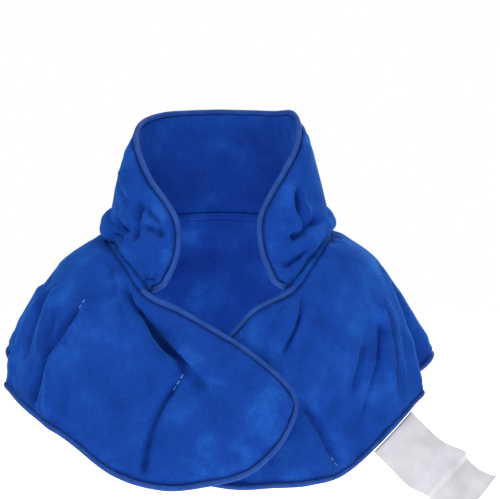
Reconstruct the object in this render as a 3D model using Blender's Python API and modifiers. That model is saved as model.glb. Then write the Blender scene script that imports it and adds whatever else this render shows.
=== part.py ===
"""Neck and shoulder heating pad: a padded cape with a stand-up collar, in the form it has when worn.

The origin is on the wearer's neck axis, at the level where the collar meets the shoulders.
+Z is up, the wearer faces -Y, and lengths are in metres. Azimuths are in degrees about the
neck axis: 0 in front, 90 over the wearer's right shoulder, 180 at the back.
"""

import math
from collections import namedtuple

import bpy
import numpy as np

# Sizes of the cape
NECK_RADIUS = 0.100
BEND_RADIUS = 0.150
HEM_RADIUS = 0.200
CAPE_DROP = 0.200
PAD_THICKNESS = 0.010
EDGE_THICKNESS = 0.0045
EDGE_ROLL = 0.014
BEND_WEIGHT = 2.2

# Sizes of the collar
COLLAR_RADIUS = 0.080
COLLAR_HEIGHT = 0.126
COLLAR_THICKNESS = 0.011
COLLAR_BULGE = 0.010

# Sizes of the trims
PIPING_DIAMETER = 0.0055
SEAM_BAND_DIAMETER = 0.0065
CLOSURE_THICKNESS = 0.0018
LABEL_WIDTH = 0.056
LABEL_LENGTH = 0.100
LABEL_THICKNESS = 0.001
SEAM_GAP = 0.0005
FLAP_GAP = 0.0008

# How finely the surfaces and the cords are divided
HEM_FACET = 0.0135
CAPE_ROWS = 14
COLLAR_FACET = 0.0120
COLLAR_ROWS = 11
LABEL_ROWS = 14
LABEL_COLUMNS = 4
CLOSURE_FACETS = 6
CORD_RESOLUTION = 1
FOLD_POINTS = 24

# How closely a line is followed when its length is measured or its direction is taken
SAMPLES_PER_SECTION = 44
SAMPLES_PER_DROP = 200
SECTION_STEP = 0.01
DROP_STEP = 0.02
WELD_DISTANCE = 0.00005
SHORTEST = 1e-9

# The two flaps lie over each other with the closure between them
FLAP_CLEARANCE = CLOSURE_THICKNESS + 2 * FLAP_GAP
LAYER_STEP = PAD_THICKNESS + FLAP_CLEARANCE

# The cape's sections, from the tip of the over flap round the back to the tip of the under flap.
# Radii are shares of NECK_RADIUS, BEND_RADIUS and HEM_RADIUS, and heights of CAPE_DROP.
# lift is the share of LAYER_STEP by which a section lies outside the mean of the two flaps.
CapeSection = namedtuple("CapeSection", "azimuth lift neck_r neck_z bend_r bend_z hem_r hem_z")
CAPE_SECTIONS = (
    CapeSection(-29.0, 0.50, 1.220, -0.645, 0.813, -0.645, 0.610, -0.645),
    CapeSection(-27.0, 0.50, 1.175, -0.580, 0.810, -0.650, 0.615, -0.715),
    CapeSection(-21.0, 0.50, 1.055, -0.505, 0.797, -0.660, 0.615, -0.815),
    CapeSection(-11.0, 0.50, 0.925, -0.425, 0.750, -0.650, 0.595, -0.910),
    CapeSection(5.0, 0.50, 0.855, -0.345, 0.703, -0.625, 0.595, -0.955),
    CapeSection(20.0, 0.45, 0.860, -0.280, 0.690, -0.560, 0.625, -0.970),
    CapeSection(37.7, 0.30, 0.970, -0.205, 0.745, -0.400, 0.675, -0.920),
    CapeSection(54.0, 0.15, 0.970, -0.095, 0.865, -0.200, 0.750, -0.795),
    CapeSection(70.0, 0.05, 0.990, -0.010, 0.915, -0.090, 0.870, -0.670),
    CapeSection(87.0, 0.00, 1.010, 0.030, 0.975, -0.055, 0.950, -0.560),
    CapeSection(106.0, 0.00, 0.960, 0.080, 0.960, -0.030, 0.990, -0.440),
    CapeSection(132.0, 0.00, 0.850, 0.135, 0.920, 0.010, 0.930, -0.640),
    CapeSection(158.0, 0.00, 0.770, 0.145, 0.810, 0.030, 0.770, -0.840),
    CapeSection(180.0, 0.00, 0.750, 0.150, 0.767, 0.030, 0.710, -0.900),
    CapeSection(202.0, 0.00, 0.770, 0.145, 0.810, 0.030, 0.770, -0.840),
    CapeSection(228.0, 0.00, 0.850, 0.135, 0.920, 0.010, 0.930, -0.660),
    CapeSection(254.0, 0.00, 0.960, 0.090, 0.965, -0.025, 1.000, -0.465),
    CapeSection(272.0, 0.00, 1.010, 0.050, 0.975, -0.050, 0.915, -0.590),
    CapeSection(288.0, -0.05, 1.000, 0.010, 0.935, -0.085, 0.815, -0.735),
    CapeSection(305.0, -0.15, 1.010, -0.090, 0.890, -0.215, 0.680, -0.925),
    CapeSection(322.0, -0.30, 1.050, -0.195, 0.785, -0.425, 0.650, -0.965),
    CapeSection(338.0, -0.45, 0.930, -0.275, 0.740, -0.565, 0.620, -0.970),
    CapeSection(351.0, -0.50, 0.905, -0.380, 0.717, -0.625, 0.598, -0.975),
    CapeSection(365.0, -0.50, 0.905, -0.475, 0.703, -0.650, 0.583, -0.955),
    CapeSection(378.0, -0.50, 0.965, -0.560, 0.723, -0.675, 0.583, -0.910),
    CapeSection(387.0, -0.50, 1.085, -0.635, 0.750, -0.700, 0.583, -0.815),
    CapeSection(390.0, -0.50, 1.145, -0.730, 0.763, -0.730, 0.573, -0.730),
)
LAST_SECTION = len(CAPE_SECTIONS) - 1
EVEN_SECTION = 9.0

# The collar's sections over the neck seam, one more than one for each cape section there.
# station is the cape section below, top_r a share of COLLAR_RADIUS, top_z of COLLAR_HEIGHT,
# and roll and belly are shares of COLLAR_BULGE, low down and half way up.
CollarSection = namedtuple("CollarSection", "station azimuth top_r top_z roll belly")
COLLAR_SECTIONS = (
    CollarSection(6.0, 35.5, 1.130, -0.250, 0.0, 0.00),
    CollarSection(6.4, 32.5, 1.110, -0.214, 0.1, 0.00),
    CollarSection(6.9, 29.8, 0.960, -0.023, 0.2, 0.10),
    CollarSection(7.4, 32.0, 0.910, 0.183, 0.3, 0.20),
    CollarSection(7.9, 43.0, 0.895, 0.328, 0.5, 0.20),
    CollarSection(8.5, 58.0, 0.910, 0.466, 0.7, 0.20),
    CollarSection(9.1, 73.0, 0.935, 0.626, 0.8, 0.25),
    CollarSection(9.7, 89.0, 0.950, 0.786, 0.8, 0.30),
    CollarSection(10.4, 108.0, 0.925, 0.900, 0.6, 0.30),
    CollarSection(11.1, 132.0, 0.875, 0.969, 0.4, 0.30),
    CollarSection(12.0, 156.0, 0.831, 0.992, 0.3, 0.20),
    CollarSection(13.0, 180.0, 0.813, 1.000, 0.3, 0.20),
    CollarSection(14.0, 204.0, 0.820, 0.992, 0.3, 0.20),
    CollarSection(14.9, 228.0, 0.845, 0.977, 0.4, 0.20),
    CollarSection(15.6, 252.0, 0.875, 0.962, 0.5, 0.20),
    CollarSection(16.3, 271.0, 0.905, 0.850, 0.6, 0.20),
    CollarSection(16.9, 287.0, 0.910, 0.690, 0.6, 0.20),
    CollarSection(17.5, 302.0, 0.880, 0.530, 0.5, 0.10),
    CollarSection(18.1, 317.0, 0.880, 0.366, 0.4, 0.10),
    CollarSection(18.6, 327.0, 0.900, 0.200, 0.3, 0.10),
    CollarSection(19.1, 328.5, 0.975, 0.000, 0.2, 0.10),
    CollarSection(19.6, 326.0, 1.110, -0.185, 0.1, 0.00),
    CollarSection(20.0, 324.0, 1.150, -0.240, 0.0, 0.00),
)
LAST_COLLAR = len(COLLAR_SECTIONS) - 1
ROLL_TOP = 0.22
ROLL_SPACING = 1.35
COLLAR_TIP = 0.9

# Where folds die out: beside the neck seam, at their own ends, and across the other flap
SEAM_HOLD = 0.06
FOLD_FADE = 0.35
FOLD_REACH = 3

# Folds and quilting seams. Each runs through three places on its surface: a section's number,
# and the share of the way from the neck seam to the far edge. height is a share of the padding,
# outwards if positive, or for a seam the share of the padding that it draws in. Widths are
# shares of the padding too, at the two ends.
Fold = namedtuple("Fold", "name start middle end height width_start width_end")
CAPE_FOLDS = (
    Fold("right_side_pleat", (9.30, 0.40), (9.22, 0.72), (9.20, 1.00), -2.60, 0.9, 1.9),
    Fold("right_side_crest", (8.45, 0.58), (8.65, 0.80), (8.78, 1.00), 0.45, 0.8, 0.9),
    Fold("right_shoulder_ridge", (8.28, 0.52), (8.13, 0.74), (8.05, 0.92), 0.40, 0.9, 1.0),
    Fold("right_arm_ridge", (7.75, 0.78), (7.56, 0.92), (7.45, 1.00), 0.35, 0.8, 0.9),
    Fold("right_arm_streak", (7.60, 0.72), (7.40, 0.79), (7.10, 0.88), 0.20, 0.9, 1.1),
    Fold("right_neck_valley", (7.97, 0.06), (6.88, 0.14), (6.20, 0.33), -0.35, 1.0, 1.3),
    Fold("collar_tip_valley", (6.40, 0.05), (5.40, 0.15), (4.43, 0.32), -0.75, 0.7, 1.0),
    Fold("collar_tip_crest", (6.45, 0.12), (5.50, 0.27), (4.60, 0.46), 0.40, 0.9, 1.2),
    Fold("left_side_pleat", (16.85, 0.34), (16.80, 0.70), (16.78, 1.00), -2.90, 0.9, 2.0),
    Fold("left_side_crest", (17.35, 0.82), (17.32, 0.92), (17.25, 1.00), 0.55, 0.7, 0.9),
    Fold("left_shoulder_crest", (17.75, 0.62), (17.82, 0.82), (17.98, 0.98), 0.75, 0.7, 0.8),
    Fold("left_shoulder_hollow", (17.95, 0.68), (18.10, 0.80), (18.35, 0.92), -0.45, 0.9, 1.1),
    Fold("left_arm_streak", (18.55, 0.66), (19.07, 0.74), (19.70, 0.82), 0.25, 1.0, 1.2),
    Fold("left_chest_streak", (19.43, 0.20), (19.90, 0.38), (20.22, 0.57), 0.25, 1.0, 1.2),
    Fold("left_neck_ridge", (19.85, 0.06), (20.42, 0.16), (20.85, 0.30), 0.50, 0.7, 0.9),
    Fold("left_neck_valley", (19.65, 0.06), (20.00, 0.18), (20.65, 0.38), -0.35, 0.8, 0.9),
    Fold("back_right_fold", (11.75, 0.42), (11.60, 0.72), (11.40, 1.00), -0.60, 1.2, 1.8),
    Fold("back_crest", (12.90, 0.50), (13.00, 0.76), (13.05, 1.00), 0.35, 1.2, 1.7),
    Fold("back_left_fold", (14.20, 0.38), (14.40, 0.70), (14.65, 1.00), -0.70, 1.1, 1.9),
)
CAPE_SEAMS = (
    Fold("right_flap_seam", (4.72, 0.34), (5.21, 0.78), (5.42, 1.00), 0.75, 0.7, 0.7),
    Fold("right_shoulder_seam", (7.25, 0.48), (7.71, 0.82), (7.90, 1.00), 0.60, 0.7, 0.7),
    Fold("left_flap_seam", (20.22, 0.72), (19.59, 0.92), (19.10, 1.00), 0.75, 0.7, 0.7),
)
COLLAR_FOLDS = (
    Fold("right_rim_ridge", (6.53, 0.79), (5.64, 0.76), (4.60, 0.78), 0.30, 0.9, 0.7),
    Fold("right_rim_crease", (4.60, 0.75), (3.80, 0.77), (3.10, 0.85), -0.25, 0.7, 0.6),
    Fold("right_front_crease", (3.90, 0.54), (3.15, 0.68), (2.65, 0.86), -0.25, 0.7, 0.6),
    Fold("right_high_crease", (5.40, 0.40), (4.50, 0.31), (3.80, 0.40), -0.30, 0.7, 0.6),
    Fold("right_low_crease", (5.10, 0.15), (4.20, 0.16), (3.50, 0.20), -0.35, 0.7, 0.6),
    Fold("right_tip_crease", (1.35, 0.12), (1.15, 0.45), (1.00, 0.90), -0.25, 0.6, 0.5),
    Fold("left_long_crease", (16.90, 0.36), (18.10, 0.34), (19.10, 0.58), -0.40, 0.7, 0.6),
    Fold("left_low_crease", (18.50, 0.14), (19.80, 0.30), (20.60, 0.80), -0.35, 0.7, 0.6),
)
COLLAR_SEAMS = (
    Fold("right_quilting", (4.76, 0.78), (4.06, 0.55), (3.20, 0.32), 0.60, 0.6, 0.6),
    Fold("left_quilting", (16.89, 0.79), (17.64, 0.58), (18.21, 0.34), 0.60, 0.6, 0.6),
)

# Where trims start and end, as sections of the cape or of the collar
BAND_ENDS = (6.35, 19.65)
NECK_PIPING_ENDS = (5.93, 20.07)
COLLAR_PIPING_ENDS = (0.45, 21.55)
RIM_INSET = 0.6
RIM_SHARE = 0.12
LABEL_SECTION = 18.13
LABEL_AZIMUTH = 278.0
LABEL_FALL = 33.0
CLOSURE_SECTIONS = (22.7, 24.1)
CLOSURE_DROPS = (0.42, 0.72)

# The label's centre line from its sewn end: shares of LABEL_LENGTH out from the hem, along the
# hem and out of its own plane, and its slope across its width
LabelSection = namedtuple("LabelSection", "out along rise slope")
LABEL_SECTIONS = (
    LabelSection(0.00, 0.00, 0.00, 0.00),
    LabelSection(0.20, 0.00, 0.03, 0.00),
    LabelSection(0.42, 0.01, 0.05, 0.06),
    LabelSection(0.62, 0.03, 0.01, 0.08),
    LabelSection(0.80, 0.07, 0.06, 0.00),
    LabelSection(0.96, 0.11, 0.01, -0.08),
)

# Base colour and roughness of each material
PLUSH = (0.012, 0.075, 0.42, 0.9)
TRIM = (0.05, 0.11, 0.45, 0.6)
SATIN = (0.85, 0.84, 0.86, 0.7)
CLOSURE = (0.01, 0.03, 0.20, 0.95)


def catmull_rom(rows, places, first=None, last=None):
    """Smooth values at fractional places along rows, with optional rows beyond either end."""
    rows = np.asarray(rows, float)
    places = np.asarray(places, float)
    first = 2 * rows[0] - rows[1] if first is None else first
    last = 2 * rows[-1] - rows[-2] if last is None else last
    padded = np.vstack([first, rows, last])
    index = np.clip(np.floor(places).astype(int), 0, len(rows) - 2)
    t = (places - index)[..., None]
    a, b, c, d = (padded[index + k] for k in range(4))
    return 0.5 * (2 * b + (c - a) * t + (2 * a - 5 * b + 4 * c - d) * t**2 + (3 * b - a - 3 * c + d) * t**3)


def smooth(t):
    """A smooth step from 0 to 1."""
    t = np.clip(t, 0.0, 1.0)
    return t * t * (3 - 2 * t)


def unit(vectors):
    """Vectors scaled to length 1."""
    return vectors / np.maximum(np.linalg.norm(vectors, axis=-1, keepdims=True), SHORTEST)


def square_to(vectors, along):
    """The part of each vector that is square to a direction, scaled to length 1."""
    return unit(vectors - along * np.sum(vectors * along, axis=-1, keepdims=True))


def polar(azimuth, radius, height):
    """Points at these azimuths in degrees, radii and heights."""
    angle = np.radians(azimuth)
    return np.stack([-radius * np.sin(angle), -radius * np.cos(angle), height + 0 * angle], axis=-1)


def cape_rows():
    """Each cape section in metres: azimuth, and the neck, bend and hem points' radii and heights."""
    rows = []
    for row in CAPE_SECTIONS:
        lift = row.lift * LAYER_STEP
        radii = (row.neck_r * NECK_RADIUS, row.bend_r * BEND_RADIUS, row.hem_r * HEM_RADIUS)
        heights = (row.neck_z * CAPE_DROP, row.bend_z * CAPE_DROP, row.hem_z * CAPE_DROP)
        pairs = [value for r, z in zip(radii, heights) for value in (r + lift, z)]
        rows.append([row.azimuth, *pairs])
    return np.array(rows)


def cape_base(section, drop):
    """The cape's middle surface without folds, at sections and drops from neck to hem."""
    rows = cape_rows()
    mirrored = [0, 5, 6, 3, 4, 1, 2]
    values = catmull_rom(rows, section, rows[1][mirrored], rows[-2][mirrored])
    azimuth, neck_r, neck_z, bend_r, bend_z, hem_r, hem_z = np.moveaxis(values, -1, 0)
    neck_share = (1 - drop) ** 2
    bend_share = 2 * drop * (1 - drop) * BEND_WEIGHT
    hem_share = drop**2
    total = neck_share + bend_share + hem_share
    radius = (neck_share * neck_r + bend_share * bend_r + hem_share * hem_r) / total
    height = (neck_share * neck_z + bend_share * bend_z + hem_share * hem_z) / total
    return polar(azimuth + 0 * drop, radius, height)


def seam_centre(section):
    """The centre line of the band that lies in the neck seam, inside the cape's neck edge."""
    edge = cape_base(section, 0 * section)
    along = unit(cape_base(section + SECTION_STEP, 0 * section) - edge)
    outward = square_to(cape_base(section, 0 * section + DROP_STEP) - edge, along)
    return edge - outward * (SEAM_BAND_DIAMETER / 2 + SEAM_GAP)


def collar_values(place):
    """Each collar section's cape section, azimuth, rim radius and height, roll and belly, in metres."""
    rows = [
        [c.station, c.azimuth, c.top_r * COLLAR_RADIUS, c.top_z * COLLAR_HEIGHT,
         c.roll * COLLAR_BULGE, c.belly * COLLAR_BULGE]
        for c in COLLAR_SECTIONS
    ]
    return np.moveaxis(catmull_rom(rows, place), -1, 0)


def collar_roll(place, rise):
    """How far the collar's padding rolls out over the neck seam."""
    roll = collar_values(place)[4]
    return roll * np.sin(math.pi * smooth(rise / ROLL_TOP)) * (rise < ROLL_TOP)


def collar_base(place, rise):
    """The collar's middle surface without folds, at collar sections and rises from seam to rim."""
    section, azimuth, top_r, top_z, _, belly = collar_values(place)
    seam = seam_centre(section)
    along = unit(seam_centre(section + SECTION_STEP) - seam)
    upward = square_to(polar(azimuth, top_r, top_z) - seam, along)
    foot = seam + upward * (SEAM_BAND_DIAMETER / 2 + 2 * SEAM_GAP)
    foot_azimuth = np.degrees(np.arctan2(-foot[..., 0], -foot[..., 1])) % 360
    foot_r = np.hypot(foot[..., 0], foot[..., 1])
    from_tip = np.minimum(place, LAST_COLLAR - place)
    rise = rise * smooth(from_tip / COLLAR_TIP)
    radius = foot_r * (1 - rise) + top_r * rise + belly * np.sin(math.pi * rise)
    radius = radius + collar_roll(place, rise) / 2
    height = foot[..., 2] * (1 - rise) + top_z * rise
    return polar(foot_azimuth * (1 - rise) + azimuth * rise, radius, height)


def grid_of(surface, places, shares):
    """A surface's points on a grid of places by shares."""
    across, down = np.meshgrid(places, shares, indexing="ij")
    return surface(across, down)


def grid_normals(points):
    """Unit normals of a grid of points, away from the neck axis."""
    normals = unit(np.cross(np.gradient(points, axis=0), np.gradient(points, axis=1)))
    weak = np.linalg.norm(normals, axis=-1) < 0.5
    for row in np.where(weak.any(axis=1))[0]:
        inner = row + 1 if row < len(points) / 2 else row - 1
        normals[row] = normals[inner].mean(axis=0)
    outward = np.sum(normals[..., :2] * points[..., :2])
    return unit(normals) * math.copysign(1.0, outward)


def fold_field(points, places, shares, surface, folds, thickness):
    """How strongly folds or seams act at each point of a grid, away from the neck seam."""
    field = np.zeros(points.shape[:2])
    t = np.linspace(0, 1, FOLD_POINTS)
    for fold in folds:
        start, middle, end = (np.array(place) for place in (fold.start, fold.middle, fold.end))
        knee = 2 * middle - (start + end) / 2
        route = np.outer((1 - t) ** 2, start) + np.outer(2 * t * (1 - t), knee) + np.outer(t**2, end)
        line = surface(route[:, 0], route[:, 1])
        apart = np.linalg.norm(points[:, :, None] - line, axis=-1)
        nearest = apart.argmin(axis=-1)
        share = t[nearest]
        width = (fold.width_start * (1 - share) + fold.width_end * share) * thickness
        fade = smooth(share / FOLD_FADE) if start[1] > 0 else 1.0
        if end[1] < 1:
            fade = fade * smooth((1 - share) / FOLD_FADE)
        same_layer = np.abs(places[:, None] - route[nearest, 0]) < FOLD_REACH
        strength = np.exp(-((apart.min(axis=-1) / width) ** 2)) * fade * same_layer
        field += fold.height * strength
    return field * smooth(shares / SEAM_HOLD)


def edge_share(points):
    """0 at the grid's long edges and 1 further in than EDGE_ROLL."""
    steps = np.linalg.norm(np.diff(points, axis=1), axis=-1)
    travel = np.concatenate([np.zeros((len(points), 1)), np.cumsum(steps, axis=1)], axis=1)
    inset = np.minimum(travel, travel[:, -1:] - travel)
    return np.sin(np.clip(inset / EDGE_ROLL, 0, 1) * math.pi / 2)


def padded_grid(surface, places, shares, folds, seams, thickness):
    """A padded surface's middle points with its folds, and its thickness at each."""
    points = grid_of(surface, places, shares)
    height = fold_field(points, places, shares, surface, folds, thickness) * thickness
    drawn_in = np.clip(fold_field(points, places, shares, surface, seams, thickness), 0, 1)
    points = points + grid_normals(points) * height[..., None]
    filling = (thickness - EDGE_THICKNESS) * edge_share(points) * (1 - drawn_in)
    return points, EDGE_THICKNESS + filling


def cape_grid(places, shares):
    """The cape's folded middle points, and its thickness at each."""
    return padded_grid(cape_base, places, shares, CAPE_FOLDS, CAPE_SEAMS, PAD_THICKNESS)


def collar_grid(places, shares):
    """The collar's folded middle points, and its thickness at each with the roll over the seam."""
    grid = padded_grid(collar_base, places, shares, COLLAR_FOLDS, COLLAR_SEAMS, COLLAR_THICKNESS)
    return grid[0], grid[1] + grid_of(collar_roll, places, shares)


def folded_line(grid, places, share):
    """Points along one long edge of a folded surface, and points a little inside it."""
    inner = abs(share - RIM_SHARE)
    shares = np.linspace(min(share, inner), max(share, inner), 3)
    points = grid(places, shares)[0]
    return (points[:, 0], points[:, -1]) if share < 0.5 else (points[:, -1], points[:, 0])


def evenly(places, points, facet):
    """Places spaced evenly by the length of the line through points, about a facet apart."""
    steps = np.linalg.norm(np.diff(points, axis=0), axis=1)
    travel = np.concatenate([[0], np.cumsum(steps)])
    count = max(2, round(travel[-1] / facet))
    return np.interp(np.linspace(0, travel[-1], count + 1), travel, places)


def rim_offset(points, inside, distance):
    """A line beside an edge, at a distance away from the points inside it."""
    along = unit(np.gradient(points, axis=0))
    return points - square_to(inside - points, along) * distance


def cape_places():
    """The sections at which the cape is drawn, evenly spaced along its folded hem."""
    fine = np.linspace(0, LAST_SECTION, LAST_SECTION * SAMPLES_PER_SECTION + 1)
    hem, _ = folded_line(cape_grid, fine, 1.0)
    return evenly(fine, hem, HEM_FACET)


def collar_places():
    """The collar sections at which the collar is drawn, evenly spaced along its rim."""
    fine = np.linspace(0, LAST_COLLAR, LAST_COLLAR * SAMPLES_PER_SECTION + 1)
    rim, _ = folded_line(collar_grid, fine, 1.0)
    return evenly(fine, rim, COLLAR_FACET)


def trimmed(places, path, ends):
    """The part of a path, drawn at these places, that runs from one end place to the other."""
    inner = places[(places > ends[0]) & (places < ends[1])]
    kept = np.concatenate([[ends[0]], inner, [ends[1]]])
    return np.stack([np.interp(kept, places, path[:, axis]) for axis in range(3)], axis=-1)


def rim_lines(grid, places, share, last):
    """One long edge of a folded surface, and points inside it to offset it from."""
    edge, _ = folded_line(grid, places, share)
    _, inside = folded_line(grid, np.clip(places, RIM_INSET, last - RIM_INSET), share)
    return edge, inside


def grid_mesh(name, points):
    """An open sheet of quads through a grid of points."""
    rows, columns = points.shape[:2]
    mesh = bpy.data.meshes.new(name)
    faces = [
        (i * columns + j, (i + 1) * columns + j, (i + 1) * columns + j + 1, i * columns + j + 1)
        for i in range(rows - 1)
        for j in range(columns - 1)
    ]
    mesh.from_pydata(points.reshape(-1, 3).tolist(), [], faces)
    return mesh


def padded_shell(name, points, thickness, finish):
    """A closed shell about a grid of middle points, with the thickness given at each."""
    shell = bpy.data.objects.new(name, grid_mesh(name, points))
    group = shell.vertex_groups.new(name="padding")
    full = float(thickness.max())
    for index, value in enumerate(thickness.reshape(-1)):
        group.add([index], float(value) / full, "REPLACE")
    weld = shell.modifiers.new("weld", "WELD")
    weld.merge_threshold = WELD_DISTANCE
    solid = shell.modifiers.new("padding", "SOLIDIFY")
    solid.thickness = full
    solid.offset = 0
    solid.vertex_group = group.name
    return placed(shell, finish)


def sheet(name, points, thickness, finish):
    """A thin closed sheet of even thickness about a grid of middle points."""
    return padded_shell(name, points, np.full(points.shape[:2], thickness), finish)


def cord(name, path, diameter, finish):
    """A round cord along a path of points."""
    curve = bpy.data.curves.new(name, "CURVE")
    curve.dimensions = "3D"
    curve.bevel_depth = diameter / 2
    curve.bevel_resolution = CORD_RESOLUTION
    curve.use_fill_caps = True
    spline = curve.splines.new("POLY")
    spline.points.add(len(path) - 1)
    for point, place in zip(spline.points, path):
        point.co = (*place, 1)
    return placed(bpy.data.objects.new(name, curve), finish)


def placed(thing, finish):
    """Gives a piece its material and puts it in the object's collection."""
    material = bpy.data.materials.new(thing.name)
    material.use_nodes = True
    shader = material.node_tree.nodes["Principled BSDF"]
    shader.inputs["Base Color"].default_value = (*finish[:3], 1)
    shader.inputs["Roughness"].default_value = finish[3]
    shader.inputs["Metallic"].default_value = 0
    thing.data.materials.append(material)
    bpy.data.collections["neck_heating_pad"].objects.link(thing)
    return thing


def build_cape():
    """The cape that lies on the shoulders, its two flaps crossing in front."""
    shares = np.linspace(0, 1, SAMPLES_PER_DROP)
    side = cape_base(0 * shares + EVEN_SECTION, shares)
    length = np.linalg.norm(np.diff(side, axis=0), axis=1).sum()
    points, thickness = cape_grid(cape_places(), evenly(shares, side, length / CAPE_ROWS))
    return padded_shell("shoulder_cape", points, thickness, PLUSH)


def build_collar():
    """The stand-up collar, highest behind the neck, its rows closest over the rolled foot."""
    rises = np.linspace(0, 1, COLLAR_ROWS + 1) ** ROLL_SPACING
    points, thickness = collar_grid(collar_places(), rises)
    return padded_shell("stand_collar", points, thickness, PLUSH)


def build_seam_band():
    """The padded band in the neck seam, between the cape and the collar."""
    places = cape_places()
    path = trimmed(places, seam_centre(places), BAND_ENDS)
    return cord("neck_seam_band", path, SEAM_BAND_DIAMETER, PLUSH)


def build_cape_piping():
    """The satin piping from the right collar tip round the flaps and the hem to the left tip."""
    places = cape_places()
    neck = rim_lines(cape_grid, places, 0.0, LAST_SECTION)
    hem = rim_lines(cape_grid, places, 1.0, LAST_SECTION)
    edge, inside = (np.concatenate([n[:0:-1], h, n[-2::-1]]) for n, h in zip(neck, hem))
    travel = np.concatenate([-places[:0:-1], places, 2 * LAST_SECTION - places[-2::-1]])
    path = rim_offset(edge, inside, PIPING_DIAMETER / 2 + SEAM_GAP)
    ends = (-NECK_PIPING_ENDS[0], 2 * LAST_SECTION - NECK_PIPING_ENDS[1])
    return cord("cape_piping", trimmed(travel, path, ends), PIPING_DIAMETER, TRIM)


def build_collar_piping():
    """The satin piping along the collar's rim."""
    places = collar_places()
    path = rim_offset(*rim_lines(collar_grid, places, 1.0, LAST_COLLAR), PIPING_DIAMETER / 2 + SEAM_GAP)
    return cord("collar_piping", trimmed(places, path, COLLAR_PIPING_ENDS), PIPING_DIAMETER, TRIM)


def build_closure():
    """The closure patch hidden between the flaps, on the outside of the under flap."""
    places = np.linspace(*CLOSURE_SECTIONS, CLOSURE_FACETS)
    points, _ = cape_grid(places, np.linspace(*CLOSURE_DROPS, CLOSURE_FACETS))
    raised = PAD_THICKNESS / 2 + FLAP_GAP + CLOSURE_THICKNESS / 2
    points = points + grid_normals(points) * raised
    return sheet("front_closure", points, CLOSURE_THICKNESS, CLOSURE)


def build_label():
    """The blank care label, sewn to the hem over the wearer's left arm."""
    fine = np.linspace(LABEL_SECTION - 1, LABEL_SECTION + 1, 2 * SAMPLES_PER_SECTION + 1)
    edge, inside = folded_line(cape_grid, fine, 1.0)
    offset = PIPING_DIAMETER + 2 * SEAM_GAP + LABEL_THICKNESS / 2
    line = rim_offset(edge, inside, offset)
    steps = np.linalg.norm(np.diff(line, axis=0), axis=1)
    travel = np.concatenate([[0], np.cumsum(steps)])
    middle = np.interp(LABEL_SECTION, fine, travel)
    across = np.linspace(-LABEL_WIDTH / 2, LABEL_WIDTH / 2, LABEL_COLUMNS + 1)
    sewn = np.stack([np.interp(middle + across, travel, line[:, axis]) for axis in range(3)], axis=-1)
    side = unit(sewn[0] - sewn[-1])
    fall = math.radians(LABEL_FALL)
    out = square_to(polar(LABEL_AZIMUTH, math.cos(fall), -math.sin(fall)), side)
    front = np.cross(side, out)
    rows = catmull_rom(LABEL_SECTIONS, np.linspace(0, len(LABEL_SECTIONS) - 1, LABEL_ROWS + 1))
    points = np.array([
        sewn + (out * row[0] + side * row[1] + front * row[2]) * LABEL_LENGTH
        + np.outer(across, front) * row[3]
        for row in rows
    ])
    return sheet("care_label", points, LABEL_THICKNESS, SATIN)


def main():
    """Builds every piece in a fresh collection."""
    for old in list(bpy.data.objects):
        bpy.data.objects.remove(old)
    collection = bpy.data.collections.new("neck_heating_pad")
    bpy.context.scene.collection.children.link(collection)
    build_cape()
    build_collar()
    build_seam_band()
    build_cape_piping()
    build_collar_piping()
    build_closure()
    build_label()


main()
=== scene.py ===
"""Looks of the neck and shoulder heating pad: plush padding, satin piping, stitches and a blank label.

Lengths are in metres, +Z is up and the wearer faces -Y. The padded pieces are drawn on the same
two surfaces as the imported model: the cape by section (tip of the over flap round the back to the
tip of the under flap) and drop (neck seam to hem), the collar by place and rise.
"""
import math
from collections import namedtuple

import bmesh
import bpy
import numpy as np
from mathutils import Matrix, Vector, noise


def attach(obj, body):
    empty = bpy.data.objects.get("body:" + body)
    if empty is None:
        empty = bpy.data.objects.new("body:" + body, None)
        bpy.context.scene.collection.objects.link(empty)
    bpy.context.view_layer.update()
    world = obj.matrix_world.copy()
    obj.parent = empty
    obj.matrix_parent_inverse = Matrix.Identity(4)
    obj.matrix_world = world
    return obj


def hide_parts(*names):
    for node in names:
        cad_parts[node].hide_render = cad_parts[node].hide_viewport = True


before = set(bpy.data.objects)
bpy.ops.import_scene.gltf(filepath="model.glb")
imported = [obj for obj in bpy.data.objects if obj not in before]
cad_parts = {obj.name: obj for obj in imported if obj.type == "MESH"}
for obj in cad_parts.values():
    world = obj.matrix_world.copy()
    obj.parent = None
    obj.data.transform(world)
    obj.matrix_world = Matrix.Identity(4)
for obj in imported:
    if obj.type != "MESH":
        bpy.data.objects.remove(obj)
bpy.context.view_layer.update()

# Sizes of the cape
NECK_RADIUS = 0.100
BEND_RADIUS = 0.150
HEM_RADIUS = 0.200
CAPE_DROP = 0.200
PAD_THICKNESS = 0.010
EDGE_THICKNESS = 0.0045
EDGE_ROLL = 0.014
BEND_WEIGHT = 2.2

# Sizes of the collar
COLLAR_RADIUS = 0.080
COLLAR_HEIGHT = 0.126
COLLAR_THICKNESS = 0.011
COLLAR_BULGE = 0.010

# Sizes of the trims
PIPING_DIAMETER = 0.0055
SEAM_BAND_DIAMETER = 0.0065
CLOSURE_THICKNESS = 0.0018
LABEL_WIDTH = 0.056
LABEL_LENGTH = 0.100
LABEL_THICKNESS = 0.0005
SEAM_GAP = 0.0005
FLAP_GAP = 0.0008
FLAP_CLEARANCE = CLOSURE_THICKNESS + 2 * FLAP_GAP
LAYER_STEP = PAD_THICKNESS + FLAP_CLEARANCE

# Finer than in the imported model: the piping as it shows, how far the padding bulges round an edge
# and at the collar's foot, the padding that a crease leaves at least, and the thread
SEEN_PIPING_DIAMETER = 0.0050
EDGE_BULGE = 0.0008
FOOT_BULGE = 0.0016
LEAST_WALL = 0.0018
THREAD_DIAMETER = 0.0006
THREAD_RISE = 0.3
STITCH_LENGTH = 0.0034
STITCH_SPACING = 0.0056

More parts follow.
